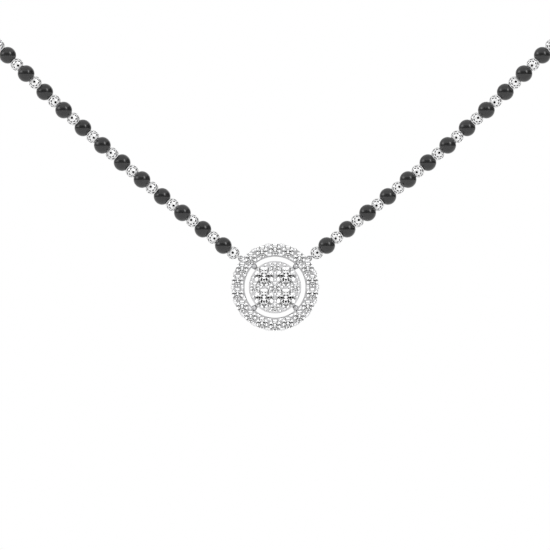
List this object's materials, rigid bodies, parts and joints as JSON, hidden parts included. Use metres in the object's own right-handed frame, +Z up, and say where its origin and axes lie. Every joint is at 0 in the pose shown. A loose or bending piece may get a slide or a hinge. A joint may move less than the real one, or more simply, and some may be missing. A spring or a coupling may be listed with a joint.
{
  "type": "bead necklace with halo pendant",
  "caption": "Closed necklace of alternating black and silver beads on a thread, with a round stone-set halo pendant held between its two sides at the front.",
  "frame": {"origin": "where the clasp rests on the nape of the neck, on the side of the clasp that faces the front", "axes": "+X from one side of the wearer to the other, to the right as seen from the front, -Y to the front, +Z up"},
  "size_m": [0.127, 0.1152, 0.1102],
  "materials": {
    "white_metal": "polished white metal",
    "clear_stone": "clear, brilliant cut",
    "black_bead": "polished black",
    "silver_bead": "bright, diamond cut",
    "thread_wire": "fine drawn wire"
  },
  "bodies": {
    "root": {"pendant_setting": "white_metal", "centre_stone": "clear_stone", "large_stone_1": "clear_stone", "large_stone_2": "clear_stone", "large_stone_3": "clear_stone", "large_stone_4": "clear_stone", "small_stone_1": "clear_stone", "small_stone_2": "clear_stone", "small_stone_3": "clear_stone", "small_stone_4": "clear_stone", "halo_stone_1": "clear_stone", "halo_stone_2": "clear_stone", "halo_stone_3": "clear_stone", "halo_stone_4": "clear_stone", "halo_stone_5": "clear_stone", "halo_stone_6": "clear_stone", "halo_stone_7": "clear_stone", "halo_stone_8": "clear_stone", "halo_stone_9": "clear_stone", "halo_stone_10": "clear_stone", "halo_stone_11": "clear_stone", "halo_stone_12": "clear_stone", "halo_stone_13": "clear_stone", "halo_stone_14": "clear_stone", "halo_stone_15": "clear_stone", "halo_stone_16": "clear_stone", "halo_stone_17": "clear_stone", "halo_stone_18": "clear_stone", "thread_right": "thread_wire", "thread_left": "thread_wire", "black_beads_right": "black_bead", "black_beads_left": "black_bead", "silver_beads_right": "silver_bead", "silver_beads_left": "silver_bead", "clasp": "white_metal"}
  },
  "joints": []
}
